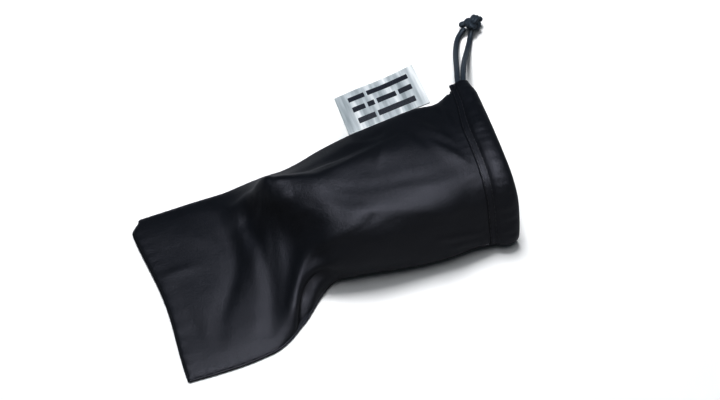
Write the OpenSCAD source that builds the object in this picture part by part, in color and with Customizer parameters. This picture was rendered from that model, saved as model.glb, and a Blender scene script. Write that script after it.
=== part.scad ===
// Soft drawstring pouch for glasses. Two panels of thin knitted cloth are sewn together on three
// sides. Their hem is turned over at the mouth and stitched down, which makes a tunnel for the
// drawcord. Both ends of the cord come out at the far side seam and share one knot, and a folded
// satin care label is caught in that seam. All sizes are in millimetres. The pouch lies on Z = 0
// along X, with its mouth at +X. It is shown filled out at the mouth end and flat at the closed end.

/* [Pouch] */
// Length from the closed end to the mouth rim
pouch_l = 180; // [160:1:200]
// Width of the pouch when it lies flat
pouch_w = 90; // [85:1:96]
// Height of the filled-out mouth end
rise = 41; // [36:1:44]
// Thickness of one layer of cloth, with its nap
cloth_t = 0.7; // [0.5:0.05:0.9]

/* [Mouth tunnel] */
// Width of the turned-over hem that holds the cord
tunnel_w = 11; // [10:0.5:13]
// Thickness of the hem across both of its layers
tunnel_t = 5.2; // [4.8:0.1:5.4]
// How far the middle of the rim stands forward of its two corners
mouth_bow = 3; // [0:0.5:4]

/* [Drawcord] */
// Diameter of the braided cord
cord_d = 2.5; // [2:0.1:2.8]

/* [Care label] */
// Width of the label along the seam
label_w = 43; // [30:1:45]
// How far the folded label stands out of the seam
label_l = 26; // [18:1:27]
// Thickness of the satin ribbon
label_t = 0.3; // [0.2:0.05:0.4]

/* [Hidden] */

cloth_colour = [0.05, 0.05, 0.07];
thread_colour = [0.03, 0.03, 0.05];
cord_colour = [0.06, 0.07, 0.08];
satin_colour = [0.82, 0.84, 0.86];
ink_colour = [0.08, 0.10, 0.15];

steps_along = 44;  // rows of points along a panel
steps_across = 26; // points across a panel
seam_r = 0.8;      // radius of a sewn edge, and half the thickness of the pouch there
gap = 0.1;         // clearance between neighbouring pieces of cloth
thread_r = 0.2;    // radius of the sewing thread

// The outline and height of the pouch at places along it. Each row holds the place along X, the
// near and the far edge, as shares of pouch_l and pouch_w, then the height of the far edge and of
// the top, as shares of rise, and how far the crest lies from the near edge to the far one.
stations = [[-0.474, -0.64, 0.345, 0.00, 0.055, 0.30],
            [-0.420, -0.64, 0.350, 0.00, 0.055, 0.30],
            [-0.330, -0.63, 0.350, 0.01, 0.065, 0.30],
            [-0.220, -0.59, 0.352, 0.07, 0.200, 0.40],
            [-0.110, -0.43, 0.345, 0.24, 0.560, 0.42],
            [ 0.000, -0.33, 0.345, 0.47, 0.830, 0.34],
            [ 0.120, -0.33, 0.350, 0.65, 0.960, 0.24],
            [ 0.280, -0.36, 0.360, 0.76, 1.000, 0.18],
            [ 0.350, -0.36, 0.364, 0.80, 1.000, 0.18],
            [ 0.420, -0.36, 0.366, 0.81, 1.000, 0.18]];

// The middle of the tunnel round the mouth, as [Y, Z], from where the cord leaves it at the far
// seam, over the top, round the near corner and back along the table to the far seam.
rim = [[36, 33.5], [26, 36.5], [10, 39.5], [-6, 39.8], [-17, 36.5], [-24, 28], [-29, 17],
       [-33.5, 8], [-33, 4.2], [-26, 3.1], [-12, 3.1], [4, 3.1], [14, 4.6], [22, 11.5],
       [28, 21], [32.5, 28.5]];
rim_x = pouch_l / 2 - mouth_bow - tunnel_w / 2;
corner_from = 6.3; // places on the rim list between which the hem turns round the near corner
corner_to = 8.7;
corner_gap = 0.05; // clearance at each end of that turn, in places on the list

// The middle of the cord inside the tunnel, as [Y, Z]. It runs on past both ends of the tunnel,
// where the third number says how far it leans towards the rim.
cord_rim = concat([[38.2, 32.7, -1.6]], [for (p = rim) [p[0], p[1], 0]],
                  [[34.3, 29.5, 1.2], [36.8, 29.8, 2.2]]);

// The routes of the two tails, from just outside the tunnel to the knot
tail_a = [[79.7, 39.9, 31], [81.6, 45.2, 28.6], [84.2, 52, 23.8], [88, 64, 13.8], [92, 74, 5.8],
          [96, 81.5, 2.1], [100, 87.6, 1.5], [104, 90.6, 2.6]];
tail_b = [[83.5, 38, 31], [86, 43.4, 29.2], [89.6, 52, 22.8], [94.6, 65, 11],
          [98.8, 74.6, 3.7], [102, 80.6, 1.6], [105, 85, 1.6], [107, 88.2, 2.8]];
knot_at = [109.5, 94, 5.2];

// Between two values, by share t
function mix(a, b, t) = a + (b - a) * t;
function unit(v) = v / norm(v);
function clamp(i, top) = max(0, min(top, i));

// A point on the Bezier curve of a list of control points
function bezier(p, t) = len(p) == 1 ? p[0]
    : bezier([for (i = [0:len(p) - 2]) mix(p[i], p[i + 1], t)], t);

// A point on a smooth curve through the points p, at place s from 0 to len(p) - 1
function through(p, s) = let(i = clamp(floor(s), len(p) - 2), t = s - i,
        a = p[max(i - 1, 0)], b = p[i], c = p[i + 1], d = p[min(i + 2, len(p) - 1)])
    0.5 * (2 * b + (c - a) * t + (2 * a - 5 * b + 4 * c - d) * t * t
           + (3 * b - a - 3 * c + d) * t * t * t);
function route(p, n, from = 0, to = -1) = let(last = to < 0 ? len(p) - 1 : to)
    [for (k = [0:n]) through(p, mix(from, last, k / n))];

// How far the cloth at Y stands forward at the mouth
function bow(y) = mouth_bow * (1 - pow(y / (0.4 * pouch_w), 2));

// The two sections of the pouch at a station r, as Bezier control points in [Y, Z]
function far_z(r) = seam_r + max(0, r[3]) * rise;
function front_section(r) = let(n = r[1] * pouch_w, f = r[2] * pouch_w, w = f - n,
        c = n + r[5] * w, h = r[4] * rise)
    [[n, 2 * seam_r], [mix(n, c, 0.15), 2 * seam_r + 0.55 * h], [mix(n, c, 0.75), 1.36 * h],
     [n + 0.52 * w, 1.02 * h + 0.1], [n + 0.8 * w, mix(far_z(r) + seam_r, h, 0.6)],
     [f, far_z(r) + seam_r]];
function back_section(r) = let(n = r[1] * pouch_w, f = r[2] * pouch_w, w = f - n)
    [[n, 0], [n + 0.3 * w, 0], [n + 0.62 * w, 0], [n + 0.8 * w, 0],
     [n + 0.93 * w, 0.35 * r[3] * rise], [f, far_z(r) - seam_r]];

// The outer face of a panel as rows of points. flat is how much of its height is pressed onto the table.
function outer(front) = [for (i = [0:steps_along]) let(u = i / steps_along,
        r = through(stations, u * (len(stations) - 1)),
        section = front ? front_section(r) : back_section(r), flat = front ? 0 : 0.3)
    [for (j = [0:steps_across]) let(v = j / steps_across, p = bezier(section, v))
        [r[0] * pouch_l + bow(p[0]) * pow(u, 6) - 6 * (v - 0.5) * pow(1 - u, 4),
         p[0], max(0, p[1] - flat * (1 - v))]]];

function slope(g, i, j) = let(ni = len(g) - 1, nj = len(g[0]) - 1)
    unit(cross(g[clamp(i + 1, ni)][j] - g[clamp(i - 1, ni)][j],
               g[i][clamp(j + 1, nj)] - g[i][clamp(j - 1, nj)]));
function shifted(g, by) = [for (i = [0:len(g) - 1]) [for (j = [0:len(g[0]) - 1])
    g[i][j] + by * slope(g, i, j)]];

// A closed sheet between two grids of points: top lies on the +Z side of bottom
module sheet(top, bottom) {
    nu = len(top);
    nv = len(top[0]);
    n = nu * nv;
    faces = concat(
        [for (i = [0:nu - 2], j = [0:nv - 2]) let(a = i * nv + j)
            each [[a, a + 1, a + nv], [a + 1, a + nv + 1, a + nv]]],
        [for (i = [0:nu - 2], j = [0:nv - 2]) let(a = n + i * nv + j)
            each [[a, a + nv, a + 1], [a + 1, a + nv, a + nv + 1]]],
        [for (i = [0:nu - 2]) let(a = i * nv)
            each [[a, a + nv, n + a], [a + nv, n + a + nv, n + a]]],
        [for (i = [0:nu - 2]) let(a = i * nv + nv - 1)
            each [[a, n + a, a + nv], [a + nv, n + a, n + a + nv]]],
        [for (j = [0:nv - 2]) each [[j, n + j, j + 1], [j + 1, n + j, n + j + 1]]],
        [for (j = [0:nv - 2]) let(a = (nu - 1) * nv + j)
            each [[a, a + 1, n + a], [a + 1, n + a + 1, n + a]]]);
    polyhedron(concat([for (r = top) each r], [for (r = bottom) each r]), faces, convexity = 8);
}

function tangent(p, k) = unit(p[min(k + 1, len(p) - 1)] - p[max(k - 1, 0)]);

// A solid tube along the points p: its section is a list of [sideways, upwards] offsets, where
// sideways is square to both the route and ref
module swept(p, section, ref) {
    m = len(section);
    last = len(p) - 1;
    rings = [for (k = [0:last]) let(t = tangent(p, k), s = unit(cross(t, ref)), w = cross(s, t))
        for (q = section) p[k] + s * q[0] + w * q[1]];
    faces = concat([[for (j = [0:m - 1]) j]], [[for (j = [m - 1:-1:0]) last * m + j]],
        [for (k = [0:last - 1], j = [0:m - 1]) let(a = k * m + j, b = k * m + (j + 1) % m)
            each [[a, a + m, b], [b, a + m, b + m]]]);
    polyhedron(rings, faces, convexity = 8);
}

function ring(r, sides) = [for (j = [0:sides - 1]) r * [cos(360 * j / sides), sin(360 * j / sides)]];

// The rounded section of the tunnel: half its width along X, and half its thickness
function tunnel_section(half_w, half_t) = [for (j = [0:15]) let(a = 360 * j / 16)
    [half_t * sign(sin(a)) * pow(abs(sin(a)), 0.8), half_w * sign(cos(a)) * pow(abs(cos(a)), 0.6)]];

// A curve round the mouth between two places on the list loop, that lies outwards of it by out and
// along X by along
function round_mouth(loop, from, to, n, out = 0, along = 0) =
    [for (k = [0:n]) let(s = mix(from, to, k / n), p = through(loop, s),
            d = unit(through(loop, min(s + 0.05, len(loop) - 1)) - through(loop, max(s - 0.05, 0))))
        [rim_x + bow(p[0]) + along + (len(p) > 2 ? p[2] : 0), p[0] + out * d[1], p[1] - out * d[0]]];

// An edge of the panels, where a sewn seam runs just outside it
function seam_line(share) = [for (i = [0:steps_along]) let(u = i / steps_along,
        r = through(stations, u * (len(stations) - 1)), y = r[share < 0.5 ? 1 : 2] * pouch_w)
    [r[0] * pouch_l + bow(y) * pow(u, 6) - 6 * (share - 0.5) * pow(1 - u, 4),
     y + (share < 0.5 ? -1 : 1) * (seam_r + gap), share < 0.5 ? seam_r : far_z(r)]];

module front_panel() {
    face = outer(true);
    color(cloth_colour) sheet(face, shifted(face, -cloth_t));
}

module back_panel() {
    face = outer(false);
    color(cloth_colour) sheet(shifted(face, cloth_t), face);
}

module bottom_seam() {
    near = seam_line(0)[0];
    far = seam_line(1)[0];
    line = [for (k = [0:12]) mix(near + [-seam_r - gap, seam_r, 0], far + [-seam_r - gap, -seam_r, 0], k / 12)];
    color(cloth_colour) swept(line, ring(seam_r, 8), [0, 0, 1]);
}

module side_seam(share) {
    color(cloth_colour) swept(seam_line(share), ring(seam_r, 8), [0, 0, 1]);
}

// Part of the tunnel between two places on the rim: the outer skin less the hollow for the cord
module tunnel(from, to, n) {
    path = round_mouth(rim, from, to, n);
    outer_skin = tunnel_section(tunnel_w / 2 - gap, tunnel_t / 2);
    hollow = tunnel_section(tunnel_w / 2 - gap - cloth_t, tunnel_t / 2 - cloth_t);
    m = len(outer_skin);
    count = (n + 1) * m;
    function skin(section) = [for (k = [0:n]) let(t = tangent(path, k), s = unit(cross(t, [1, 0, 0])))
        for (q = section) path[k] + s * q[0] + [q[1], 0, 0]];
    faces = concat(
        [for (k = [0:n - 1], j = [0:m - 1]) let(a = k * m + j, b = k * m + (j + 1) % m)
            each [[a, b, a + m], [b, b + m, a + m],
                  [count + a, count + a + m, count + b], [count + b, count + a + m, count + b + m]]],
        [for (j = [0:m - 1]) let(b = (j + 1) % m)
            each [[j, count + j, b], [b, count + j, count + b]]],
        [for (j = [0:m - 1]) let(a = n * m + j, b = n * m + (j + 1) % m)
            each [[a, b, count + a], [b, count + b, count + a]]]);
    color(cloth_colour) polyhedron(concat(skin(outer_skin), skin(hollow)), faces, convexity = 8);
}

// Two parallel rows of stitches beside the panel, drawn as the thread that lies on the hem. Each
// row's place is its share of the hem's half width, and the share of its half thickness there.
module tunnel_stitching(from, to, n) {
    for (row = [[-0.83, 0.76], [-0.5, 0.98]]) {
        line = round_mouth(rim, from, to, n, row[1] * tunnel_t / 2 + thread_r, row[0] * tunnel_w / 2);
        color(thread_colour) swept(line, ring(thread_r, 6), [1, 0, 0]);
    }
}

// Close bar of thread that stops the side seam opening where the cord comes out
module exit_bartack() {
    edge = seam_line(1)[steps_along - 1];
    color(thread_colour) translate(edge + [-4, seam_r + gap, -1.2]) cube([5, 0.7, 2.4]);
}

module drawcord_loop() {
    color(cord_colour)
        swept(round_mouth(cord_rim, 0, len(cord_rim) - 1, 60), ring(cord_d / 2, 8), [1, 0, 0]);
}

module drawcord_tail(points) {
    color(cord_colour) swept(route(points, 20), ring(cord_d / 2, 8), [0, 0, 1]);
}

// The knot that both tails share: two crossed turns of cord round a filled middle
module drawcord_knot() {
    color(cord_colour) translate(knot_at) rotate([0, 0, 38]) union() {
        sphere(r = 3.3, $fn = 32);
        rotate([0, 78, 0]) rotate_extrude($fn = 32) translate([2.7, 0]) circle(r = 1.8, $fn = 24);
        translate([-2, 1.2, -1]) rotate([60, 0, 0]) rotate_extrude($fn = 32)
            translate([2, 0]) circle(r = 1.6, $fn = 24);
    }
}

module cord_end(at, heading, length) {
    translate(at) rotate([0, 90, heading]) {
        cylinder(r = cord_d / 2, h = length, $fn = 24);
        translate([0, 0, length]) sphere(r = cord_d / 2, $fn = 24);
    }
}

module drawcord_ends() {
    color(cord_colour) cord_end(knot_at + [3.6, 2.6, -1.2], 20, 3.5);
    color(cord_colour) cord_end(knot_at + [-4.4, 3.2, -2.4], 150, 2.5);
}

// The label's frame: X along the seam, Y out of the pouch, Z off its printed face
label_from = through(stations, 6.02);
label_to = through(stations, 8);
label_root = [label_from[0] * pouch_l, label_from[2] * pouch_w + seam_r + gap, far_z(label_from)];
label_tip = [label_to[0] * pouch_l, label_to[2] * pouch_w + seam_r + gap, far_z(label_to)];
label_slope = atan2(label_tip[2] - label_root[2], label_tip[0] - label_root[0]);
label_droop = 6; // degrees below level
module on_label() {
    translate(mix(label_root, label_tip, 0.5)) rotate([-label_droop, -label_slope, 0]) children();
}

// A ribbon folded in half, with the fold at its outer edge and both ends in the seam
module care_label() {
    fold_r = 0.5;
    inset = 1.6;
    color(satin_colour) on_label() rotate([90, 0, 90]) linear_extrude(label_w, center = true)
        difference() {
            union() {
                translate([inset, -fold_r]) square([label_l - inset - fold_r, 2 * fold_r]);
                translate([label_l - fold_r, 0]) circle(r = fold_r, $fn = 24);
            }
            translate([inset - 1, label_t - fold_r]) square([label_l - inset - fold_r + 1, 2 * (fold_r - label_t)]);
            translate([label_l - fold_r, 0]) circle(r = fold_r - label_t, $fn = 24);
        }
}

// The widths of the bars before bar k, with the spaces after them
function upto(bars, k) = k == 0 ? 0 : bars[k - 1] + 1.2 + upto(bars, k - 1);

// Three lines of plain printed bars in place of words
module label_print() {
    bar_h = 2.4;
    ink_t = 0.1;
    lines = [[4.5, 3, 4, 9, 3.5], [4, 2.5, 6.5, 4], [5, 9.5, 2.5]];
    color(ink_colour) on_label() for (i = [0:2], k = [0:len(lines[i]) - 1])
        translate([upto(lines[i], k) - (upto(lines[i], len(lines[i])) - 1.2) / 2,
                   17.6 - 5.2 * i - bar_h / 2, 0.5]) cube([lines[i][k], bar_h, ink_t]);
}

front_panel();
back_panel();
bottom_seam();
side_seam(0);  // side_seam_near
side_seam(1);  // side_seam_far
tunnel(0, corner_from - corner_gap, 28);  // tunnel_front
tunnel(corner_to + corner_gap, len(rim) - 1, 22);  // tunnel_back
tunnel(corner_from, corner_to, 12);  // tunnel_corner
tunnel_stitching(0.1, corner_from - 0.1, 28);  // tunnel_stitching_front
tunnel_stitching(corner_to + 0.1, len(rim) - 1.1, 22);  // tunnel_stitching_back
exit_bartack();
drawcord_loop();
drawcord_tail(tail_a);  // drawcord_tail_a
drawcord_tail(tail_b);  // drawcord_tail_b
drawcord_knot();
drawcord_ends();
care_label();
label_print();
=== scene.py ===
"""The looks of the soft drawstring glasses pouch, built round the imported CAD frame.

All shapes are worked out in millimetres in the row frame and turned into metres as each mesh is made.
"""

import math

import bpy
import numpy as np
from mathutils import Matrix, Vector, noise


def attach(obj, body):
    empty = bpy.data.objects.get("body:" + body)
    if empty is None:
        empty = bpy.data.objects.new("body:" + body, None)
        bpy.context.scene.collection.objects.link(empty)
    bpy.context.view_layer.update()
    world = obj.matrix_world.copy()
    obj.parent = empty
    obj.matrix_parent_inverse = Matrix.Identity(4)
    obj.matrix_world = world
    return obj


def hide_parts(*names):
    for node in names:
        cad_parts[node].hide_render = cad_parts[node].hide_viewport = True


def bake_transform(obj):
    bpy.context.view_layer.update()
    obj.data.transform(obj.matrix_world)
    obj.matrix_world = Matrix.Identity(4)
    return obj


MM = 0.001
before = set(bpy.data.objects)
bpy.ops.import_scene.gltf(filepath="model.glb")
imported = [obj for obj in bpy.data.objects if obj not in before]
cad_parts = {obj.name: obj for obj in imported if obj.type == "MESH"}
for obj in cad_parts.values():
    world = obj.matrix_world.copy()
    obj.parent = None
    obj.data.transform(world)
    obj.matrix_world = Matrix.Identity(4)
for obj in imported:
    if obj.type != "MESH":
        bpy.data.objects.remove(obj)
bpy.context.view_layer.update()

# ---------------------------------------------------------------------------------------------
# Camera
# ---------------------------------------------------------------------------------------------
VIEW_AZIMUTH = -17.4
VIEW_ELEVATION = 60.0
VIEW_DISTANCE = 684.5
VIEW_TARGET = (19.5, 5.5, 10.3)


def make_camera():
    a, e = math.radians(VIEW_AZIMUTH), math.radians(VIEW_ELEVATION)
    back = Vector((math.sin(a) * math.cos(e), -math.cos(a) * math.cos(e), math.sin(e)))
    data = bpy.data.cameras.new("camera")
    data.lens = 70
    data.sensor_width = 36
    data.clip_start = 0.01
    camera = bpy.data.objects.new("camera", data)
    camera.location = (Vector(VIEW_TARGET) + back * VIEW_DISTANCE) * MM
    camera.rotation_euler = (-back).to_track_quat("-Z", "Y").to_euler()
    bpy.context.scene.collection.objects.link(camera)
    bpy.context.scene.camera = camera


make_camera()


# ---------------------------------------------------------------------------------------------
# Curves and meshes
# ---------------------------------------------------------------------------------------------
def catmull(points, per_span=16):
    """A smooth curve through the points, with per_span steps between neighbours."""
    p = np.array(points, float)
    p = np.vstack([2 * p[0] - p[1], p, 2 * p[-1] - p[-2]])
    t = np.linspace(0, 1, per_span, endpoint=False)[:, None]
    spans = []
    for a, b, c, d in zip(p[:-3], p[1:-2], p[2:-1], p[3:]):
        spans.append(0.5 * (2 * b + (c - a) * t + (2 * a - 5 * b + 4 * c - d) * t**2
                            + (3 * b - a - 3 * c + d) * t**3))
    return np.vstack(spans + [p[-2:-1]])


def lengths(curve):
    """How far along the curve each of its points is."""
    return np.concatenate([[0], np.cumsum(np.linalg.norm(np.diff(curve, axis=0), axis=1))])


def resample(curve, n):
    """n points evenly spaced along the curve."""
    s = lengths(curve)
    at = np.linspace(0, s[-1], n)
    return np.stack([np.interp(at, s, curve[:, k]) for k in range(curve.shape[1])], axis=1)


def smooth(t):
    t = np.clip(t, 0, 1)
    return t * t * (3 - 2 * t)


def along_stations(x_known, rows, x):
    """Rows of points known at x_known, blended smoothly to the places x."""
    x_known, rows = np.array(x_known, float), np.array(rows, float)
    slope = np.gradient(rows, x_known, axis=0)
    k = np.clip(np.searchsorted(x_known, x, side="right") - 1, 0, len(x_known) - 2)
    h = (x_known[k + 1] - x_known[k])[:, None, None]
    t = ((x - x_known[k]) / (x_known[k + 1] - x_known[k]))[:, None, None]
    return ((2 * t**3 - 3 * t**2 + 1) * rows[k] + (t**3 - 2 * t**2 + t) * h * slope[k]
            + (3 * t**2 - 2 * t**3) * rows[k + 1] + (t**3 - t**2) * h * slope[k + 1])


def grid_normals(g):
    """Unit normals of a grid of points, on the side of cross(first axis, second axis)."""
    n = np.cross(np.gradient(g, axis=0), np.gradient(g, axis=1))
    return n / np.maximum(np.linalg.norm(n, axis=2, keepdims=True), 1e-9)


def wobble(points, scale, seed):
    """Smooth noise from -1 to 1 at each point, with features about scale millimetres across."""
    shift = Vector((seed * 17.3, seed * 5.1, seed * 9.7))
    flat = points.reshape(-1, points.shape[-1])
    values = [noise.noise(Vector(p) / scale + shift) for p in flat]
    return np.array(values).reshape(points.shape[:-1])


def mesh_object(name, points, faces, uv=None):
    """A smooth-shaded mesh from points in millimetres. uv gives one pair per point."""
    mesh = bpy.data.meshes.new(name)
    mesh.from_pydata((np.array(points, float) * MM).tolist(), [], [list(map(int, f)) for f in faces])
    mesh.validate()
    mesh.shade_smooth()
    if uv is not None:
        layer = mesh.uv_layers.new(name="cloth")
        index = np.zeros(len(mesh.loops), np.int32)
        mesh.loops.foreach_get("vertex_index", index)
        layer.data.foreach_set("uv", np.array(uv, np.float32)[index].ravel())
    made = bpy.data.objects.new(name, mesh)
    bpy.context.scene.collection.objects.link(made)
    return made


def grid_faces(rows, columns, start=0, wrap=False, flip=False):
    """Quads over a grid of points. wrap joins the last column to the first."""
    faces = []
    for i in range(rows - 1):
        for j in range(columns if wrap else columns - 1):
            k = (j + 1) % columns
            quad = [start + i * columns + j, start + (i + 1) * columns + j,
                    start + (i + 1) * columns + k, start + i * columns + k]
            faces.append(quad[::-1] if flip else quad)
    return faces


def cloth_shell(name, outer, thickness, uv):
    """A closed sheet: the grid outer, a second skin thickness inside it, and an edge all round."""
    rows, columns = outer.shape[:2]
    inner = outer - thickness * grid_normals(outer)
    count = rows * columns
    faces = grid_faces(rows, columns) + grid_faces(rows, columns, start=count, flip=True)
    border = [(0, j) for j in range(columns)]
    border += [(i, columns - 1) for i in range(1, rows)]
    border += [(rows - 1, j) for j in range(columns - 2, -1, -1)]
    border += [(i, 0) for i in range(rows - 2, 0, -1)]
    ring = [i * columns + j for i, j in border]
    for a, b in zip(ring, ring[1:] + ring[:1]):
        faces.append([a, b, count + b, count + a])
    points = np.concatenate([outer.reshape(-1, 3), inner.reshape(-1, 3)])
    return mesh_object(name, points, faces, np.concatenate([uv.reshape(-1, 2)] * 2))


def frames_along(path):
    """Two directions square to the path at each of its points, which turn as little as they can."""
    t = np.gradient(path, axis=0)
    t /= np.linalg.norm(t, axis=1, keepdims=True)
    side = np.cross(t[0], (0, 0, 1) if abs(t[0][2]) < 0.9 else (1, 0, 0))
    sides = []
    for k in range(len(path)):
        side = side - t[k] * np.dot(side, t[k])
        side = side / np.linalg.norm(side)
        sides.append(side)
    sides = np.array(sides)
    return sides, np.cross(t, sides)


def ring_angles(sides):
    """The angles of the points of a ring, as one row."""
    return np.linspace(0, 2 * math.pi, sides, endpoint=False)[None, :]


def tube(path, radii, sides):
    """Points and faces of a closed tube. radii has a row for each place along the path."""
    a, b = frames_along(path)
    angle = ring_angles(sides)[..., None]
    rings = path[:, None] + radii[..., None] * (np.cos(angle) * a[:, None] + np.sin(angle) * b[:, None])
    last = (len(path) - 1) * sides
    faces = grid_faces(len(path), sides, wrap=True, flip=True)
    faces.append(list(range(sides)))
    faces.append([last + j for j in range(sides - 1, -1, -1)])
    return rings.reshape(-1, 3), faces


CORD_D = 2.7
BRAID_STRANDS = 8     # strands that wind each way round the cord
BRAID_PITCH = 8.4     # length of cord in which a strand goes once round
CORD_SIDES = 48
CORD_STEP = 0.22      # spacing of the rings along a cord
CORD_TIP = 0.04       # share of its radius that is left at a cord's very end


def braid_radii(s, angle, radius):
    """The radius of a braided cord at lengths s along it and at each angle round it."""
    wind = (2 * math.pi * s / BRAID_PITCH)[:, None]
    over = np.cos(BRAID_STRANDS * (angle + wind))
    under = np.cos(BRAID_STRANDS * (angle - wind))
    cross = 0.6 * np.cos(BRAID_STRANDS * angle)
    return radius * (0.95 + 0.055 * np.maximum(over * (1 + cross), under * (1 - cross)))


def braided_cord(name, route, radius=CORD_D / 2):
    """A braided cord with round ends along the points of a route. Returns it and its path."""
    curve = catmull(route, 24)
    path = resample(curve, max(8, int(lengths(curve)[-1] / CORD_STEP)))
    s = lengths(path)
    angle = ring_angles(CORD_SIDES)
    to_end = np.minimum(s, s[-1] - s)
    rounding = np.sqrt(np.clip(1 - (1 - np.clip(to_end / radius, 0, 1))**2, 0, 1))
    radii = braid_radii(s, angle, radius) * np.maximum(rounding, CORD_TIP)[:, None]
    points, faces = tube(path, radii, CORD_SIDES)
    uv = np.stack(np.broadcast_arrays(s[:, None], angle * radius), axis=2)
    return mesh_object(name, points, faces, uv.reshape(-1, 2)), path


# ---------------------------------------------------------------------------------------------
# The routes of the drawcord's two tails, and their knot
# ---------------------------------------------------------------------------------------------
TAIL_A = [(81.4, 39.5, 31.4), (82.9, 45.8, 30.2), (84.8, 51.5, 27.6), (88, 60.5, 21.5), (92, 71.3, 12.6),
          (95.9, 80.8, 5.6), (98.9, 87.1, 2.4), (101.8, 91.0, 1.9), (105.5, 93.4, 3.6)]
TAIL_B = [(84.4, 39.0, 31.2), (85.6, 45, 30.4), (87.6, 50.3, 28.2), (91.3, 58.7, 22.5), (96.9, 69.8, 12.6),
          (101.5, 78.4, 5.6), (104.7, 84.2, 2.3), (106.6, 87.8, 1.9), (108.8, 91.6, 4.0)]
KNOT_AT = np.array((110.2, 94.3, 5.0))


def knot_strand(lift):
    """One strand of the overhand knot, a tight clover that crosses itself three times."""
    t = np.linspace(0, 2 * math.pi, 61)
    x = 1.16 * (np.sin(t) + 2 * np.sin(2 * t))
    y = 0.92 * (np.cos(t) - 2 * np.cos(2 * t))
    return np.stack([x, y, lift - 1.35 * np.sin(3 * t)], axis=1)


def turned(points, about_x, about_z):
    """Points turned about X and then about Z, in degrees."""
    x, z = math.radians(about_x), math.radians(about_z)
    turn_x = np.array(((1, 0, 0), (0, math.cos(x), -math.sin(x)), (0, math.sin(x), math.cos(x))))
    turn_z = np.array(((math.cos(z), -math.sin(z), 0), (math.sin(z), math.cos(z), 0), (0, 0, 1)))
    return np.array(points, float) @ turn_x.T @ turn_z.T


def joined(name, objects):
    """One object from several."""
    with bpy.context.temp_override(active_object=objects[0], selected_editable_objects=objects):
        bpy.ops.object.join()
    objects[0].name = name
    return objects[0]


# ---------------------------------------------------------------------------------------------
# The pouch's shape: the outer faces of its two panels, as sections in [Y, Z] at places along X
# ---------------------------------------------------------------------------------------------
PANEL_END = 76.4      # X where the panels run into the hem
CLOTH_T = 0.65
FRONT = [
    (-86.1, [(-57.9, 0.9), (-50, 2.1), (-38, 2.7), (-24, 3.0), (-10, 2.9), (4, 2.8), (16, 2.7),
           (25, 2.1), (31.8, 0.9)]),
    (-70, [(-57.9, 0.9), (-49, 2.5), (-38, 3.2), (-24, 3.6), (-10, 3.7), (4, 3.7), (16, 3.5),
           (25, 2.7), (32.6, 1.0)]),
    (-55, [(-57.2, 0.9), (-48, 2.5), (-37, 3.3), (-24, 3.8), (-10, 4.0), (4, 4.1), (16, 4.1),
           (26, 3.4), (33.2, 1.5)]),
    (-47, [(-56.2, 0.9), (-48, 2.7), (-38, 4.2), (-24, 5.2), (-10, 4.9), (4, 4.4), (17, 4.4),
           (26, 3.8), (33.2, 2.0)]),
    (-41, [(-55.1, 0.9), (-48, 2.9), (-38, 4.9), (-24, 6.5), (-10, 7.0), (4, 7.0), (17, 7.0),
           (26, 5.4), (33.1, 2.8)]),
    (-33, [(-51.4, 0.9), (-48, 3.2), (-44, 5.2), (-38, 6.6), (-26, 8.2), (-12, 10.2), (4, 11.6),
           (14, 13.2), (21, 12.8),
           (27, 9.8), (33.0, 5.2)]),
    (-27, [(-47.0, 0.9), (-44.6, 3.6), (-41.4, 6.4), (-38, 8.2), (-30, 9.0), (-15, 11.8), (-4, 14.8),
           (5, 20),
           (10.5, 25.8), (16, 27.6), (20, 24), (26, 15.4), (32.8, 7.4)]),
    (-23, [(-44, 1.0), (-41.4, 4), (-38.4, 7), (-35, 9.4), (-27, 10.8), (-13, 13.4), (-4, 17.2),
           (3.5, 23.5), (8, 30),
           (13, 32.4), (17, 32.8), (21.5, 26.5), (27, 16.4), (32.7, 8.4)]),
    (-20, [(-41.2, 1.0), (-38.6, 4.2), (-35.4, 7.4), (-31.6, 11), (-24, 12.6), (-12, 15.2),
           (-5, 18.8), (1, 25),
           (5, 31), (10, 33.2), (15, 34.2), (20, 28.4), (26, 18.4), (32.6, 9.2)]),
    (-12, [(-33.6, 1.0), (-32.6, 4), (-30.8, 9.4), (-27.5, 15), (-20, 18.4), (-12, 22.8),
           (-6.5, 28.2), (-3, 32.4),
           (3, 34.2), (9, 35.4), (13.5, 34.8), (19, 28), (26, 18.4), (31.4, 12)]),
    (-4, [(-28.6, 1.4), (-29.8, 5), (-29.8, 12), (-26.5, 20), (-20, 26), (-14.5, 30.6), (-9.5, 34.4),
           (-2, 36.2),
          (6, 37.2), (11.5, 36), (17.5, 30), (24, 23), (31.2, 15.6)]),
    (6, [(-28.6, 1.8), (-31.0, 7), (-30.4, 16), (-25.5, 26.6), (-20, 32.4), (-14, 35.8), (-4, 37.4),
           (6, 38.2),
         (13, 36.4), (20, 30.8), (26, 25.6), (31.6, 20.8)]),
    (20, [(-30.4, 2.2), (-33.0, 8), (-31.2, 18), (-25.6, 30.2), (-17.5, 36.2), (-8, 38.2), (2, 39.3),
           (10, 38.8),
          (17, 36), (24.2, 32), (31.8, 26.6)]),
    (38, [(-32.8, 2.6), (-34.6, 8), (-31.4, 18.5), (-24.8, 32), (-16, 38), (-6, 39.8), (4, 40.6),
           (12, 40),
          (25, 35.6), (32.2, 31)]),
    (56, [(-33.6, 3.2), (-34.8, 8.5), (-31, 19), (-24.2, 32.4), (-15.5, 38.8), (-5, 40.6), (4, 41.2),
           (13, 40.3),
          (25, 37), (33.0, 33.8)]),
    (68, [(-33.8, 5.6), (-33.6, 10), (-30, 18.5), (-24, 29.5), (-15.5, 38), (-3, 41), (12, 40.2),
           (24, 37), (32.8, 34)]),
]
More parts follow.
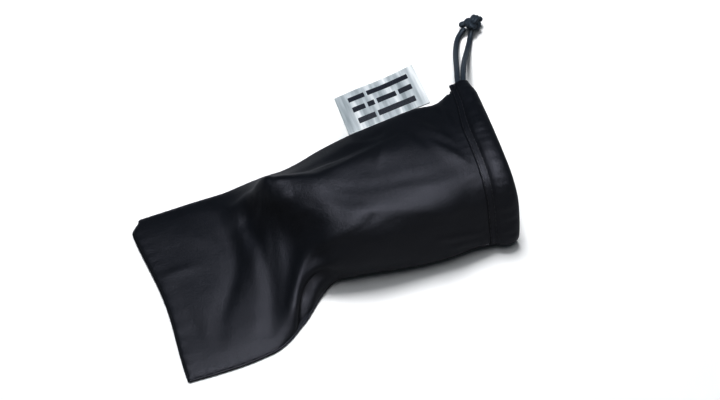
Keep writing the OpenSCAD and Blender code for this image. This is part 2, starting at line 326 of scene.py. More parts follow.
BACK = [
    (-86.1, [(-57.9, 0.7), (-45, 0.1), (-20, 0.05), (5, 0.05), (20, 0.1), (31.8, 0.7)]),
    (-55, [(-57.2, 0.7), (-45, 0.1), (-20, 0.05), (5, 0.05), (20, 0.2), (33.0, 1.2)]),
    (-33, [(-51.4, 0.7), (-42, 0.1), (-20, 0.05), (5, 0.1), (20, 0.8), (32.6, 4.5)]),
    (-20, [(-41.2, 0.7), (-34, 0.1), (-15, 0.05), (5, 0.1), (20, 2.0), (31.6, 9.3)]),
    (-4, [(-31.4, 1.1), (-25, 0.1), (-10, 0.05), (7, 0.1), (20.5, 4.8), (30.4, 16.9)]),
    (20, [(-31.2, 1.8), (-24, 0.1), (-8, 0.05), (8, 0.2), (21, 8.6), (31.2, 26.4)]),
    (56, [(-33.6, 2.6), (-25, 0.2), (-8, 0.1), (8, 0.4), (21.5, 11), (33.0, 32.6)]),
    (68, [(-33.8, 5.0), (-27, 1.4), (-8, 1.0), (8, 2.2), (21.5, 12), (32.8, 32.4)]),
]
# The middle of the hem round the mouth, from the near seam
HEM_FRONT = [(-33.7, 6.3), (-32.3, 10.2), (-29, 17), (-24, 28), (-17, 36.3), (-6, 39.8), (10, 39.4),
             (24, 36.6), (34, 34.2), (42, 32.4)]
HEM_BACK = [(-33.7, 6.3), (-33, 4.2), (-26, 3.1), (-12, 3.1), (4, 3.1), (14, 4.6), (22, 11.5),
            (28, 20), (33.5, 26.6), (40.6, 29.4)]
HEM_EDGE = 0.75       # how far the cloth's outer face lies out from the hem's middle at its stitches
PANEL_FAR = 37.2      # Y of the panels' far corner at the hem
SEAM_FAR_END = (37.1, 32.6)

ROWS = 240
COLUMNS = 136


def hem_bow(y):
    """How far the hem's stitch line bows toward the closed end, at each Y."""
    return -3.6 * smooth((35 - y) / 26)


def outwards(line):
    """Unit normals of a line in [Y, Z] that runs from the near seam over the top."""
    side = np.gradient(line, axis=0)
    side /= np.linalg.norm(side, axis=1, keepdims=True)
    return np.stack([-side[:, 1], side[:, 0]], axis=1)


def panel_grid(sections, hem_line, side):
    """The outer face of a panel as a grid of points, and how far each is along and across the cloth.

    side is 1 for the front and -1 for the back, which lies on the other side of the hem's middle.
    """
    stations = [x for x, _ in sections] + [PANEL_END]
    rows = [resample(catmull(points), COLUMNS) for _, points in sections]
    line = catmull(hem_line)
    line = line[line[:, 0] < PANEL_FAR]
    rows.append(resample(line + side * HEM_EDGE * outwards(line), COLUMNS))
    x = np.linspace(stations[0], stations[-1], ROWS)
    yz = along_stations(stations, rows, x)
    across = np.linspace(0, 1, COLUMNS)[None, :]
    closed = (1 - (x - x[0]) / (x[-1] - x[0]))[:, None]
    skew = closed**4 * (3 - 6.8 * across + 2.5 * np.sin(math.pi * across) ** 2)
    skew = skew - 1.3 * closed**3 * smooth((across - 0.3) / 0.6)
    skew = skew + 5.2 * closed**14 * smooth((across - 0.92) / 0.08)
    skew = skew + (1 - closed)**7 * hem_bow(rows[-1][:, 0])[None, :]
    grid = np.concatenate([(x[:, None] + skew)[..., None], yz], axis=2)
    steps = np.linalg.norm(np.diff(grid, axis=1), axis=2)
    girth = np.concatenate([np.zeros((ROWS, 1)), np.cumsum(steps, axis=1)], axis=1)
    return grid, np.stack([np.broadcast_to(x[:, None], girth.shape), girth], axis=2)


# ---------------------------------------------------------------------------------------------
# Folds and puckers, in the cloth's own millimetres: along X, and across from the near seam
# ---------------------------------------------------------------------------------------------
FOLDS = [
    # places along the fold, its height (less than 0 for a valley), and its half widths left and right of it
    # the ridge that runs from the far seam over the bulge, and the hollow beyond it
    ([(-25, 72), (-18, 63), (-12, 59), (-6, 59), (0, 61), (8, 65), (20, 70), (33, 73.5), (46, 75)],
     1.0, 2.4, 8),
    ([(-14, 74), (-4, 72.5), (8, 74.5), (22, 78), (34, 80)], -1.3, 5, 3.2),
    # the crest above the near side
    ([(-22, 69), (-14, 58), (-8, 52.5), (6, 45), (27, 40), (52, 33), (74, 25)], 0.9, 9, 4),
    # faint rays between the two
    ([(-20, 73), (4, 59), (40, 56), (70, 53)], 0.25, 3.5, 3.5),
    ([(-12, 62), (12, 51), (40, 48), (72, 40)], 0.25, 3, 3),
    # the fold that comes down to the pocket beside the flat end
    ([(14, 39), (1, 33), (-8, 27), (-16, 22), (-22, 17), (-26, 12), (-28, 5)], 2.2, 2.8, 6),
    ([(-4, 11), (-12, 12.5), (-18, 12), (-22, 8.5), (-24.5, 4), (-26, 0)], -3.8, 5, 2.4),
    # where the flat end begins
    ([(-37, 54), (-38, 46), (-41, 36)], 0.4, 2.6, 3.4),
    ([(-33, 50), (-33.5, 38), (-36, 25), (-39, 14), (-43, 6)], -1.3, 6, 4.6),
    ([(-44, 80), (-38, 75.5), (-32, 74), (-26, 74)], 1.0, 2.6, 4),
    ([(-40, 67), (-34, 65), (-28, 63)], -0.9, 4, 4),
    # the flat end
    ([(-79, 46), (-77, 28), (-75, 12)], -0.5, 4, 4),
    ([(-45, 62), (-46.5, 53), (-50, 45), (-54, 38), (-59, 31), (-63, 24), (-66, 14)], -1.1, 4.5, 4.5),
    ([(-84, 54), (-74, 55.5), (-66, 55)], 0.35, 2.4, 3),
    ([(-70, 76), (-60, 70), (-52, 60)], 0.4, 6, 5),
    # by the mouth and under the label
    ([(54, 69), (62, 59), (71, 47)], 0.75, 2.0, 3.2),
    ([(53, 83), (60, 72), (68, 60)], 0.7, 1.8, 3.0),
    ([(66, 87), (69, 80), (70, 70)], 0.5, 1.6, 2.2),
    ([(48, 80), (53, 70), (58, 62)], -0.5, 2.4, 2.4),
    ([(20, 84), (27, 80), (35, 79), (40, 82)], 0.6, 2.4, 2.4),
    ([(35, 77), (32, 69), (27, 61)], 0.45, 2, 2.6),
    # on the near side
    ([(26, 37), (12, 33.5), (3, 30), (-3, 24)], 0.5, 2.6, 2.6),
    ([(48, 18), (58, 15), (70, 9)], 0.5, 1.6, 2.2),
    ([(54, 10), (62, 8), (73, 3)], 0.4, 1.4, 2),
]


def fold_height(cloth):
    """How far the folds lift each point of the cloth."""
    lift = np.zeros(cloth.shape[:2])
    for points, height, left, right in FOLDS:
        line = catmull(points, 10)
        share = np.linspace(0, 1, len(line))
        way = np.gradient(line, axis=0)
        offset = cloth[:, :, None, :] - line[None, None]
        distance = np.linalg.norm(offset, axis=3)
        nearest = distance.argmin(axis=2)
        gap = np.take_along_axis(offset, nearest[..., None, None], axis=2)[:, :, 0]
        side = way[nearest][..., 0] * gap[..., 1] - way[nearest][..., 1] * gap[..., 0]
        width = left + (right - left) * smooth(0.5 - side / (2 + distance.min(axis=2)) / 2)
        fade = np.sin(math.pi * np.clip(0.08 + 0.84 * share[nearest], 0, 1)) ** 0.8
        lift += height * fade * np.exp(-(distance.min(axis=2) / width) ** 2)
    return lift


LIP = 0.7             # how far a panel stands out beside its seams
PUCKER = 0.09


def finished(grid, cloth, folds):
    """The grid with lips beside the seams, puckers along them, folds and the cloth's own unevenness."""
    normal = grid_normals(grid)
    x, girth = cloth[..., 0], cloth[..., 1]
    to_side = np.minimum(girth, girth[:, -1:] - girth)
    to_edge = np.minimum(to_side, x - x.min())
    to_hem = PANEL_END - x
    lip = LIP * (1 - np.exp(-to_edge / 0.9))
    run = np.where(to_side < x - x.min(), x, girth)
    beat = run / 6.5 + 0.35 * np.sin(run / 11)
    pucker = PUCKER * np.sin(2 * math.pi * beat) * np.exp(-to_edge / 4)
    gather = 0.07 * np.sin(2 * math.pi * (girth / 5.2 + 0.4 * np.sin(girth / 9))) * np.exp(-to_hem / 5)
    uneven = 0.36 * wobble(grid, 21, 3) + 0.09 * wobble(grid, 8, 8) + 0.02 * wobble(grid, 2.5, 5)
    lift = lip + pucker + gather * smooth(to_hem / 1.5)
    lift = lift + uneven * smooth(to_edge / 6) * smooth(to_hem / 4) + folds
    return grid + lift[..., None] * normal


def joined_edges(lower, upper):
    """The lower grid with both of its side edges brought just under those of the upper one."""
    across = np.linspace(0, 1, lower.shape[1])[None, :, None]
    near = upper[:, :1] - (0, 0, 0.25) - lower[:, :1]
    far = upper[:, -1:] - (0, 0, 0.8) - lower[:, -1:]
    return lower + near * smooth(1 - 3 * across) + far * smooth(3 * across - 2)


front, front_cloth = panel_grid(FRONT, HEM_FRONT, 1)
back, back_cloth = panel_grid(BACK, HEM_BACK[:-2] + [SEAM_FAR_END], -1)
back = joined_edges(back, front)
front_face = finished(front, front_cloth, fold_height(front_cloth))
front_face[..., 2] = np.maximum(front_face[..., 2], 1.0)
front_panel = cloth_shell("front_panel_cloth", front_face, CLOTH_T, front_cloth)
back_face = back.copy()
back_face[..., 2] = np.maximum(back[..., 2], 0.02)
back_panel = cloth_shell("back_panel_cloth", back_face[:, ::-1], CLOTH_T, back_cloth[:, ::-1])

# ---------------------------------------------------------------------------------------------
# The hem, turned over round the cord
# ---------------------------------------------------------------------------------------------
HEM_ROWS = 260
HEM_WALL = 0.6
HEM_WIDTH = 11
# The hem's section: share of its width from the stitches to the rim, and how far out it stands
HEM_SECTION = [(0.0, 0.72), (0.05, 0.62), (0.13, 1.0), (0.23, 0.85), (0.36, 2.0), (0.55, 2.75),
               (0.74, 2.65), (0.88, 2.0), (0.97, 0.95), (1.0, 0.0), (0.97, -0.95), (0.88, -1.9),
               (0.74, -2.45), (0.55, -2.5), (0.36, -1.9), (0.22, -0.9), (0.1, -0.75), (0.0, -0.72),
               (-0.01, 0.0)]
# X of the rim at shares of the way round the mouth, from the far seam over the top
RIM = [(0, 88.6), (0.1, 87.8), (0.2, 87.0), (0.3, 87.0), (0.42, 89.2), (0.5, 88.6), (0.56, 87.4),
       (0.7, 87.6), (1, 87.0)]


def hem_path():
    """The hem's middle in [Y, Z] from the far seam over the top and back, and X of its rim."""
    line = resample(catmull(HEM_FRONT[::-1] + HEM_BACK[1:]), HEM_ROWS)
    share = np.linspace(0, 1, HEM_ROWS)
    rim = np.interp(share, [s for s, _ in RIM], [x for _, x in RIM])
    rim = np.convolve(np.pad(rim, 12, mode="edge"), np.ones(25) / 25, mode="valid")
    return line, rim


hem_line, hem_rim = hem_path()
hem_out = -outwards(hem_line)
hem_length = lengths(hem_line)
# The hem narrows to the cord at both of its ends, by the far seam
full = smooth(np.minimum(hem_length, hem_length[-1] - hem_length) / 10)
hem_stitched = PANEL_END + hem_bow(hem_line[:, 0]) + 0.8 * (1 - full)
hem_rim = hem_rim - 1.6 * (1 - full)


def hem_point(k, share, out):
    """The point beside place k of the hem's line, at share of its width and out from its middle."""
    x = hem_stitched[k] + share * (hem_rim[k] - hem_stitched[k])
    return np.concatenate([[x], hem_line[k] + out * hem_out[k]])


def hem_twist(s, share):
    """Slight slanting puckers, at lengths s round the mouth and shares of the hem's width."""
    coarse = 0.10 * np.sin(2 * math.pi * (s / 9.0 + 0.5 * np.sin(s / 14) + 0.7 * share))
    fine = 0.05 * np.sin(2 * math.pi * (s / 4.1 + 0.3 * np.sin(s / 5) - 0.5 * share))
    return coarse + fine


def hem_rings():
    """The hem's outer face as rings of points, and where on the cloth each point lies."""
    outline = resample(catmull(HEM_SECTION + HEM_SECTION[:1], 8), 73)[:-1]
    share = outline[None, :, 0]
    out = outline[None, :, 1]
    s = hem_length[:, None]
    puff = np.clip((np.abs(out) - 0.6) / 2, 0, 1) * np.sign(out)
    stand = (out + puff * hem_twist(s, share)) * (0.72 + 0.28 * full[:, None])
    x = hem_stitched[:, None] + share * (hem_rim - hem_stitched)[:, None]
    y = hem_line[:, :1] + stand * hem_out[:, :1]
    z = np.maximum(hem_line[:, 1:] + stand * hem_out[:, 1:], 0.03)
    girth = PANEL_END + lengths(outline * (HEM_WIDTH, 1))
    cloth = np.stack(np.broadcast_arrays(girth[None, :], 90 - s), axis=2)
    return np.stack([x, y, z], axis=2), cloth


def make_hem():
    """The hem as a hollow tube with a wall, open at both of its ends."""
    rings, cloth = hem_rings()
    count = rings.shape[1]
    total = HEM_ROWS * count
    normal = grid_normals(np.concatenate([rings, rings[:, :1]], axis=1))[:, :-1]
    outside = np.mean(normal[40, 20:30] @ np.r_[0, hem_out[40]]) > 0
    inner = rings - HEM_WALL * normal * (1 if outside else -1)
    faces = grid_faces(HEM_ROWS, count, wrap=True, flip=not outside)
    faces += grid_faces(HEM_ROWS, count, start=total, wrap=True, flip=outside)
    for row in (0, HEM_ROWS - 1):
        for j in range(count):
            a = row * count + j
            b = row * count + (j + 1) % count
            faces.append([a, b, total + b, total + a])
    points = np.concatenate([rings.reshape(-1, 3), inner.reshape(-1, 3)])
    return mesh_object("hem_tunnel", points, faces, np.concatenate([cloth.reshape(-1, 2)] * 2))


hem = make_hem()

# ---------------------------------------------------------------------------------------------
# Stitches, seams and the bartack
# ---------------------------------------------------------------------------------------------
THREAD_R = 0.17
THREAD_SIDES = 8
STITCH = 2.3          # length of a stitch
STITCH_GAP = 0.45


def thread(points, radius):
    """Points and faces of a closed round thread through the points."""
    path = np.array(points, float)
    taper = np.ones(len(path))
    taper[0] = 0.45
    taper[-1] = 0.45
    return tube(path, (radius * taper)[:, None], THREAD_SIDES)


def threads_object(name, lines, radius=THREAD_R):
    """One mesh of many short threads."""
    points, faces, start = [], [], 0
    for line in lines:
        p, f = thread(line, radius)
        points.append(p)
        faces += [[start + k for k in face] for face in f]
        start += len(p)
    return mesh_object(name, np.concatenate(points), faces)


def stitch_rows(first, last):
    """Both rows of hem stitches between two lengths along the hem."""
    lines = []
    for share, out in ((0.05, 0.66), (0.23, 0.9)):
        for begin in np.arange(first, last - STITCH, STITCH + STITCH_GAP):
            t = np.linspace(0, 1, 7)
            at = np.interp(begin + t * STITCH, hem_length, np.arange(HEM_ROWS))
            rise = 0.26 * np.sin(math.pi * t) ** 0.6 - 0.12
            low = np.floor(at).astype(int).clip(0, HEM_ROWS - 2)
            part = (at - low)[:, None]
            here = [(1 - p) * hem_point(k, share, out + r) + p * hem_point(k + 1, share, out + r)
                    for k, p, r in zip(low, part, rise)]
            lines.append(here)
    return lines


to_near_seam = np.linalg.norm(hem_line - np.array(HEM_FRONT[0]), axis=1)
corner = float(hem_length[np.argmin(to_near_seam)])
stitching_front = threads_object("stitching_front", stitch_rows(1.0, corner))
stitching_back = threads_object("stitching_back", stitch_rows(corner + 0.4, hem_length[-1] - 1.0))


SEAM_R = 0.6
SEAM_SIDES = 14


def seam_strip(name, line):
    """The turned edge of a seam, a slim puckered roll along its line."""
    path = resample(line, max(60, int(lengths(line)[-1] / 0.8)))
    s = lengths(path)
    radii = SEAM_R * (1 + 0.05 * np.sin(2 * math.pi * (s / 3.1 + 0.2 * np.sin(s / 4))))[:, None]
    points, faces = tube(path, radii, SEAM_SIDES)
    cloth = np.stack(np.broadcast_arrays(s[:, None], ring_angles(SEAM_SIDES) * SEAM_R), axis=2)
    return mesh_object(name, points, faces, cloth.reshape(-1, 2))


def between(a, b):
    return (a + b) / 2


near_seam = seam_strip("side_seam_near_roll", between(front[:, 0], back[:, 0]))
far_seam = seam_strip("side_seam_far_roll", between(front[:-3, -1], back[:-3, -1]))
end_seam = seam_strip("bottom_seam_roll", between(front[0], back[0]))

BAR_AT = np.array((79.8, 40.4, 32.2))


def make_bartack():
    """Close stitches across the end of the far seam, where the cord comes out."""
    lines = []
    for k in range(-4, 5):
        y = 0.3 * k + 0.1 * (k % 2)
        lines.append([BAR_AT + (0.12 * k - 0.4 * u, y, 1.6 * u) for u in np.linspace(-1, 1, 7)])
    return threads_object("bartack", lines, 0.2)


bartack = make_bartack()

# ---------------------------------------------------------------------------------------------
# The drawcord's pieces
# ---------------------------------------------------------------------------------------------
tail_a, path_a = braided_cord("cord_tail_a", TAIL_A)
tail_b, path_b = braided_cord("cord_tail_b", TAIL_B)


def make_loop():
    """The cord inside the hem, from one of its exits round the mouth to the other."""
    line = resample(hem_line, 40)
    rims = np.interp(np.linspace(0, HEM_ROWS - 1, 40), np.arange(HEM_ROWS), hem_rim)
    route = [TAIL_A[0]]
    route += [((PANEL_END + rim) / 2 + 0.8, y, z) for (y, z), rim in zip(line, rims)]
    route += [(84.3, 37.6, 30.0)]
    return braided_cord("cord_loop", route)[0]


def make_knot():
    """The overhand knot, of two strands that lie one on the other."""
    strands = []
    for k, lift in enumerate((1.0, -1.0)):
        route = turned(knot_strand(lift), 62, 35) + KNOT_AT
        strands.append(braided_cord("strand_%d" % k, route)[0])
    return joined("cord_knot", strands)


def make_ends():
    """The two short cut ends past the knot, as points from its middle."""
    end_a = KNOT_AT + np.array([(-2.5, 1.2, -0.6), (-5.0, 1.6, -1.4), (-7.0, 1.6, -1.9)])
    end_b = KNOT_AT + np.array([(1.5, 0.9, 0.3), (3.6, 1.6, -0.2), (6.0, 1.4, -0.9)])
    return joined("cord_ends", [braided_cord("end_a", end_a, 1.6)[0], braided_cord("end_b", end_b, 1.5)[0]])


cord_loop = make_loop()
knot = make_knot()
ends = make_ends()

# ---------------------------------------------------------------------------------------------
# The care label
# ---------------------------------------------------------------------------------------------
LABEL_INNER = np.array(((22.2, 31.6, 28.3), (64.6, 34.4, 34.0)))
LABEL_OUTER = np.array(((22.2, 56.6, 24.6), (63.6, 60.4, 31.2)))
LABEL_LENGTH = 42.6
LABEL_PLAN = 25.2     # how far the fold is from the seam
LABEL_SECTION = [(0.2, 0.2), (6, 0.45), (12, 0.6), (18, 0.6), (23, 0.55), (24.8, 0.42), (25.2, 0.0),
                 (24.8, -0.42), (23, -0.5), (18, -0.55), (12, -0.6), (6, -0.45), (0.2, -0.2)]


def label_point(a, b, n):
    """A point on the label: share a along the seam, b millimetres out from it, n off its middle."""
    a, b, n = (np.asarray(v, float)[..., None] for v in (a, b, n))
    share = b / LABEL_PLAN
    inner = LABEL_INNER[0] + a * (LABEL_INNER[1] - LABEL_INNER[0])
    outer = LABEL_OUTER[0] + a * (LABEL_OUTER[1] - LABEL_OUTER[0])
    curl = 1.1 * np.sin(math.pi * share) + 0.5 * np.sin(2 * math.pi * a + 0.6) * share
    up = np.array((-0.13, 0.1, 0.985))
    return inner + share * (outer - inner) + (n + curl) * up


def label_ripple(a, b):
    """Slight waves across the label, which fade toward the seam."""
    return 0.06 * np.sin(2 * math.pi * (a * 3.1 + 0.05 * b)) * np.clip(b / 10, 0, 1)


def make_label():
    outline = resample(catmull(LABEL_SECTION, 10), 110)
    a = np.linspace(0, 1, 90)[:, None]
    b = outline[None, :, 0]
    n = outline[None, :, 1]
    grid = label_point(a + 0 * b, b + 0 * a, n + label_ripple(a, b))
    cloth = np.stack(np.broadcast_arrays(a * LABEL_LENGTH, lengths(outline)[None, :]), axis=2)
    return cloth_shell("care_label_satin", grid, 0.22, cloth)


BAR_LENGTHS = ((8.5, 22), (6.5, 3.5, 10, 7), (9, 19.5))
BAR_GAP = 1.5
BAR_HALF = 1.5        # half of a bar's height
BAR_MIDDLE = 22       # the middle of each line of bars, along the label
FIRST_LINE = 19.4     # how far the first line is from the seam
LINE_PITCH = 7
INK_LIFT = 0.045


def label_bar(start, length, middle):
    """One bar as a grid of points just off the label's face."""
    a = np.linspace(start, start + length, int(length / 0.5) + 2)
    b = middle + np.linspace(-BAR_HALF, BAR_HALF, 8)
    aa, bb = np.meshgrid(a, b, indexing="ij")
    face = LABEL_SECTION[:5]
    off = INK_LIFT + np.interp(bb, [p for p, _ in face], [q for _, q in face])
    share = aa / LABEL_LENGTH
    return label_point(share, bb, off + label_ripple(share, bb))


def make_print():
    """Three lines of plain bars in place of words."""
    points, faces, start = [], [], 0
    for row, bar_lengths in enumerate(BAR_LENGTHS):
        at = BAR_MIDDLE - (sum(bar_lengths) + BAR_GAP * (len(bar_lengths) - 1)) / 2
        for length in bar_lengths:
            grid = label_bar(at, length, FIRST_LINE - LINE_PITCH * row)
            points.append(grid.reshape(-1, 3))
            faces += grid_faces(grid.shape[0], grid.shape[1], start=start)
            start += grid.shape[0] * grid.shape[1]
            at += length + BAR_GAP
    return mesh_object("label_bars", np.concatenate(points), faces)


label = make_label()
bars = make_print()

# ---------------------------------------------------------------------------------------------
# Materials
# ---------------------------------------------------------------------------------------------
def new_material(name):
    material = bpy.data.materials.new(name)
    material.use_nodes = True
    tree = material.node_tree
    return material, tree, tree.nodes["Principled BSDF"]


def add(tree, kind, **values):
    """A node, with its properties set by name and its inputs by in_0, in_Scale and so on."""
    made = tree.nodes.new(kind)
    for key, value in values.items():
        if key.startswith("in_"):
            key = key[3:]
            socket = made.inputs[int(key) if key.isdigit() else key.replace("_", " ")]
            if isinstance(value, bpy.types.NodeSocket):
                tree.links.new(value, socket)
            else:
                socket.default_value = value
        else:
            setattr(made, key, value)
    return made


def ramp(tree, source, stops):
    """A colour ramp from (place, colour) pairs."""
    made = add(tree, "ShaderNodeValToRGB", in_Fac=source)
    elements = made.color_ramp.elements
    while len(elements) < len(stops):
        elements.new(0.5)
    for element, (place, colour) in zip(elements, stops):
        element.position = place
        element.color = (*colour, 1)
    return made.outputs["Color"]


def cloth_material():
    """Fine knitted microfibre: rows of small loops, a slight mottle and a soft sheen."""
    material, tree, shader = new_material("microfibre")
    uv = add(tree, "ShaderNodeUVMap", uv_map="cloth").outputs["UV"]
    place = add(tree, "ShaderNodeTexCoord").outputs["Object"]
    mottle = add(tree, "ShaderNodeTexNoise", in_Vector=place, in_Scale=70.0, in_Detail=5.0,
                 in_Roughness=0.6)
    fleck = add(tree, "ShaderNodeTexNoise", in_Vector=uv, in_Scale=2.6, in_Detail=2.0)
    blacks = [(0.3, (0.0012, 0.0040, 0.0090)), (0.7, (0.0028, 0.0062, 0.0125))]
    colour = ramp(tree, mottle.outputs["Fac"], blacks)
    speck = ramp(tree, fleck.outputs["Fac"], [(0.35, (0.75, 0.75, 0.78)), (0.7, (1.3, 1.3, 1.28))])
    mixed = add(tree, "ShaderNodeMix", data_type="RGBA", blend_type="MULTIPLY", in_0=1.0, in_6=colour,
                in_7=speck)
    tree.links.new(mixed.outputs[2], shader.inputs["Base Color"])
    wales = add(tree, "ShaderNodeTexWave", in_Vector=uv, bands_direction="Y", in_Scale=0.62,
                in_Distortion=1.2, in_Detail=1.0, in_Detail_Scale=1.5)
    courses = add(tree, "ShaderNodeTexWave", in_Vector=uv, bands_direction="X", in_Scale=0.78,
                  in_Distortion=1.6, in_Detail=1.0, in_Detail_Scale=1.5)
    loops = add(tree, "ShaderNodeMath", operation="MULTIPLY", in_0=wales.outputs["Fac"],
                in_1=courses.outputs["Fac"])
    slub = add(tree, "ShaderNodeTexNoise", in_Vector=uv, in_Scale=0.75, in_Detail=3.0, in_Roughness=0.7)
    uneven = add(tree, "ShaderNodeMath", operation="MULTIPLY_ADD", in_0=slub.outputs["Fac"], in_1=2.6,
                 in_2=fleck.outputs["Fac"])
    height = add(tree, "ShaderNodeMath", operation="ADD", in_0=loops.outputs[0], in_1=uneven.outputs[0])
    bump = add(tree, "ShaderNodeBump", in_Strength=0.6, in_Distance=0.00008, in_Height=height.outputs[0])
    tree.links.new(bump.outputs["Normal"], shader.inputs["Normal"])
    rough = add(tree, "ShaderNodeMapRange", in_Value=mottle.outputs["Fac"], in_3=0.33, in_4=0.41)
    grain = add(tree, "ShaderNodeMath", operation="MULTIPLY_ADD", in_0=fleck.outputs["Fac"], in_1=0.36,
                in_2=rough.outputs["Result"])
    tree.links.new(grain.outputs[0], shader.inputs["Roughness"])
    shader.inputs["Specular IOR Level"].default_value = 0.5
    shader.inputs["Specular Tint"].default_value = (0.90, 0.90, 1.0, 1)
    shader.inputs["Sheen Weight"].default_value = 0.03
    shader.inputs["Sheen Roughness"].default_value = 0.45
    shader.inputs["Sheen Tint"].default_value = (0.8, 0.85, 1.0, 1)
    return material


def cord_material():
    material, tree, shader = new_material("braided_cord")
    uv = add(tree, "ShaderNodeUVMap", uv_map="cloth").outputs["UV"]
    fibre = add(tree, "ShaderNodeTexNoise", in_Vector=uv, in_Scale=6.0, in_Detail=3.0)
    colour = ramp(tree, fibre.outputs["Fac"], [(0.3, (0.030, 0.042, 0.056)), (0.75, (0.086, 0.106, 0.134))])
    tree.links.new(colour, shader.inputs["Base Color"])
    bump = add(tree, "ShaderNodeBump", in_Strength=0.5, in_Distance=0.00006, in_Height=fibre.outputs["Fac"])
    tree.links.new(bump.outputs["Normal"], shader.inputs["Normal"])
    shader.inputs["Roughness"].default_value = 0.55
    shader.inputs["Specular IOR Level"].default_value = 0.4
    shader.inputs["Specular Tint"].default_value = (0.8, 0.9, 1.0, 1)
    shader.inputs["Sheen Weight"].default_value = 0.08
    shader.inputs["Sheen Roughness"].default_value = 0.4
    return material


def thread_material():
    material, tree, shader = new_material("black_thread")
    place = add(tree, "ShaderNodeTexCoord").outputs["Object"]
    twist = add(tree, "ShaderNodeTexWave", in_Vector=place, bands_direction="DIAGONAL", in_Scale=900.0,
                in_Distortion=2.0)
    colour = ramp(tree, twist.outputs["Fac"], [(0.2, (0.024, 0.025, 0.032)), (0.9, (0.065, 0.067, 0.08))])
    tree.links.new(colour, shader.inputs["Base Color"])
    shader.inputs["Roughness"].default_value = 0.38
    return material


def satin_material():
    """Silver satin ribbon: fine weft lines, and soft bands of sheen painted into its colour."""
    material, tree, shader = new_material("satin_ribbon")
    uv = add(tree, "ShaderNodeUVMap", uv_map="cloth").outputs["UV"]
    # Stretched noise paints light and dark bands into the base colour as painted sheen, not the ribbon's
    # own tone
    sheen_stretch = add(tree, "ShaderNodeMapping", in_Vector=uv, in_Scale=(0.2, 0.02, 1))
    painted_sheen_noise = add(tree, "ShaderNodeTexNoise", in_Vector=sheen_stretch.outputs["Vector"], in_Scale=1.0, in_Detail=3.0)
    weft = add(tree, "ShaderNodeTexWave", in_Vector=uv, bands_direction="Y", in_Scale=0.9,
               in_Distortion=0.6)
    painted_sheen_bands = [(0.36, (0.36, 0.40, 0.43)), (0.5, (0.56, 0.60, 0.63)), (0.64, (0.84, 0.86, 0.88))]
    colour = ramp(tree, painted_sheen_noise.outputs["Fac"], painted_sheen_bands)
    line = ramp(tree, weft.outputs["Fac"], [(0.0, (0.9, 0.9, 0.9)), (1.0, (1.0, 1.0, 1.0))])
    mixed = add(tree, "ShaderNodeMix", data_type="RGBA", blend_type="MULTIPLY", in_0=1.0, in_6=colour,
                in_7=line)
    tree.links.new(mixed.outputs[2], shader.inputs["Base Color"])
    bump = add(tree, "ShaderNodeBump", in_Strength=0.4, in_Distance=0.00004, in_Height=weft.outputs["Fac"])
    tree.links.new(bump.outputs["Normal"], shader.inputs["Normal"])
    shader.inputs["Roughness"].default_value = 0.36
    shader.inputs["Anisotropic"].default_value = 0.6
    shader.inputs["Sheen Weight"].default_value = 0.15
    return material


def ink_material():
    material, tree, shader = new_material("label_ink")
    place = add(tree, "ShaderNodeTexCoord").outputs["Object"]
    worn = add(tree, "ShaderNodeTexNoise", in_Vector=place, in_Scale=1500.0, in_Detail=3.0)
    colour = ramp(tree, worn.outputs["Fac"], [(0.3, (0.012, 0.016, 0.028)), (0.8, (0.05, 0.06, 0.085))])
    tree.links.new(colour, shader.inputs["Base Color"])
    shader.inputs["Roughness"].default_value = 0.6
    return material


CLOTH = cloth_material()
CORD = cord_material()
THREAD = thread_material()
SATIN = satin_material()
INK = ink_material()


def dress(piece, material, nodes):
    piece.data.materials.clear()
    piece.data.materials.append(material)
    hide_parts(*nodes)


for piece, material, slot, nodes in (
        (front_panel, CLOTH, "cloth", ["front_panel"]),
        (back_panel, CLOTH, "cloth", ["back_panel"]),
        (hem, CLOTH, "cloth", ["tunnel_front", "tunnel_back", "tunnel_corner"]),
        (near_seam, CLOTH, "cloth", ["side_seam_near"]),
        (stitching_front, THREAD, "thread", ["tunnel_stitching_front"]),
        (stitching_back, THREAD, "thread", ["tunnel_stitching_back"]),
        (cord_loop, CORD, "cord", ["drawcord_loop"])):
    dress(piece, material, nodes)
    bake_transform(piece)

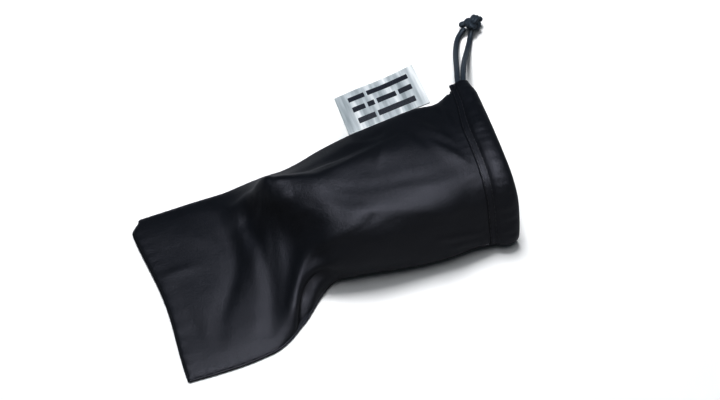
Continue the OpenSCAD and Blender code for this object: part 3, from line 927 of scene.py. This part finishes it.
for piece, material, slot, nodes, body in (
        (far_seam, CLOTH, "cloth", ["side_seam_far"], "pouch"),
        (end_seam, CLOTH, "cloth", ["bottom_seam"], "pouch"),
        (bartack, THREAD, "thread", ["exit_bartack"], "pouch"),
        (knot, CORD, "cord", ["drawcord_knot"], "cord_knot"),
        (ends, CORD, "cord", ["drawcord_ends"], "cord_knot"),
        (label, SATIN, "label_satin", ["care_label"], "label"),
        (bars, INK, "label_ink", ["label_print"], "label")):
    dress(piece, material, nodes)
    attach(piece, body)

for tail, path, node in ((tail_a, path_a, "drawcord_tail_a"), (tail_b, path_b, "drawcord_tail_b")):
    dress(tail, CORD, [node])
    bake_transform(tail)

# ---------------------------------------------------------------------------------------------
# Floor and light
# ---------------------------------------------------------------------------------------------
def add_light(name, location, target, size, energy):
    data = bpy.data.lights.new(name, "AREA")
    data.shape = "RECTANGLE"
    data.size, data.size_y = size
    data.energy = energy
    light = bpy.data.objects.new(name, data)
    light.location = location
    light.rotation_euler = (Vector(target) - Vector(location)).to_track_quat("-Z", "Y").to_euler()
    bpy.context.scene.collection.objects.link(light)
    return light


def make_floor():
    mesh = bpy.data.meshes.new("floor")
    half = 2.5
    corners = [(-half, -half, 0), (half, -half, 0), (half, half, 0), (-half, half, 0)]
    mesh.from_pydata(corners, [], [(0, 1, 2, 3)])
    floor = bpy.data.objects.new("floor", mesh)
    bpy.context.scene.collection.objects.link(floor)
    material, _, shader = new_material("pale_floor")
    shader.inputs["Base Color"].default_value = (0.93, 0.93, 0.935, 1)
    shader.inputs["Roughness"].default_value = 0.8
    mesh.materials.append(material)


make_floor()
world = bpy.data.worlds.new("studio")
bpy.context.scene.world = world
world.use_nodes = True
world.node_tree.nodes["Background"].inputs["Color"].default_value = (0.7, 0.88, 1, 1)
world.node_tree.nodes["Background"].inputs["Strength"].default_value = 0.07
add_light("overhead", (0.0, -0.05, 1.65), (0.0, 0.0, 0.0), (0.95, 0.95), 7)
# The near light only shapes the cloth's sheen, and the far one only lights the floor and throws the shadow
gloss = add_light("gloss", (0.02, -0.14, 0.6), (0.02, -0.02, 0.03), (0.36, 0.36), 9.2)
gloss.visible_diffuse = False
window = add_light("window", (0.05, 0.7, 1.5), (0.0, 0.0, 0.0), (0.45, 0.45), 26)
window.visible_glossy = False
bpy.context.scene.view_settings.view_transform = "Standard"
bpy.context.scene.view_settings.gamma = 0.66
